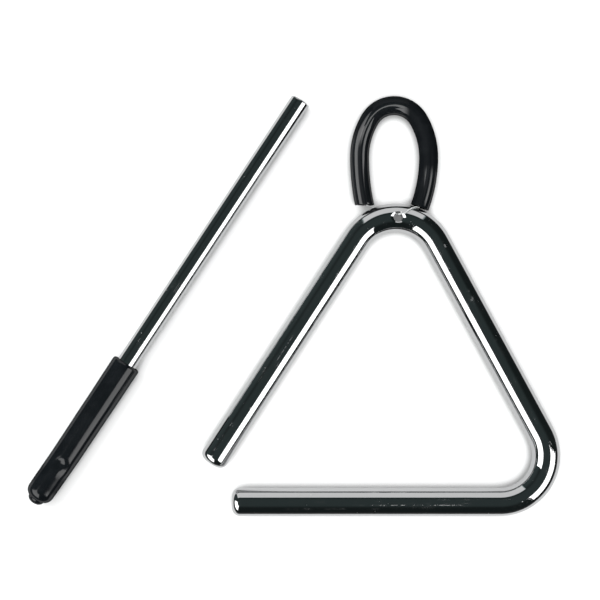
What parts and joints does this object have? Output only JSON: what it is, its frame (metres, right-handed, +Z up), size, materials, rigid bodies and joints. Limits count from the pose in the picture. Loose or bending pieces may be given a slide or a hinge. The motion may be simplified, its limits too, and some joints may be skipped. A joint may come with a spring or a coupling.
{
  "type": "triangle instrument",
  "caption": "Chromed steel percussion triangle with an open corner and a black finger loop on a nylon line, with a straight steel beater in a black grip.",
  "frame": {"origin": "centre of the bounding box of the triangle and its beater, on the surface that they lie on", "axes": "+X along the bottom leg towards the closed corner, +Y across the triangle's plane towards the finger loop, +Z up from the surface"},
  "size_m": [0.1701, 0.1348, 0.0097],
  "materials": {
    "triangle_chrome": "bright chrome plate on a drawn steel bar",
    "loop_vinyl": "glossy black extruded vinyl tube",
    "line_nylon": "clear nylon monofilament",
    "beater_chrome": "bright chrome plate on a drawn steel bar",
    "grip_vinyl": "satin-gloss black dip-moulded vinyl"
  },
  "bodies": {
    "triangle": {"triangle_rod": "triangle_chrome"},
    "line": {"loop_line": "line_nylon"},
    "loop": {"loop_tube": "loop_vinyl"},
    "beater": {"beater_rod": "beater_chrome", "beater_grip": "grip_vinyl"}
  },
  "joints": [
    {"name": "loop_swivel", "type": "hinge", "parent": "triangle", "child": "line", "pos_m": [0.03297, 0.02794, 0.0045], "axis": [0, 0, 1], "range_deg": [-4, 9], "deforming": ["loop_line"]},
    {"name": "loop_fold", "type": "hinge", "parent": "line", "child": "loop", "pos_m": [0.03297, 0.02514, 0.0045], "axis": [1, 0, 0], "range_deg": [-95, 105], "deforming": ["loop_line"]},
    {"name": "beater_lift", "type": "slide", "parent": "triangle", "child": "beater", "axis": [0, 0, 1], "range_m": [0, 0.12]}
  ]
}
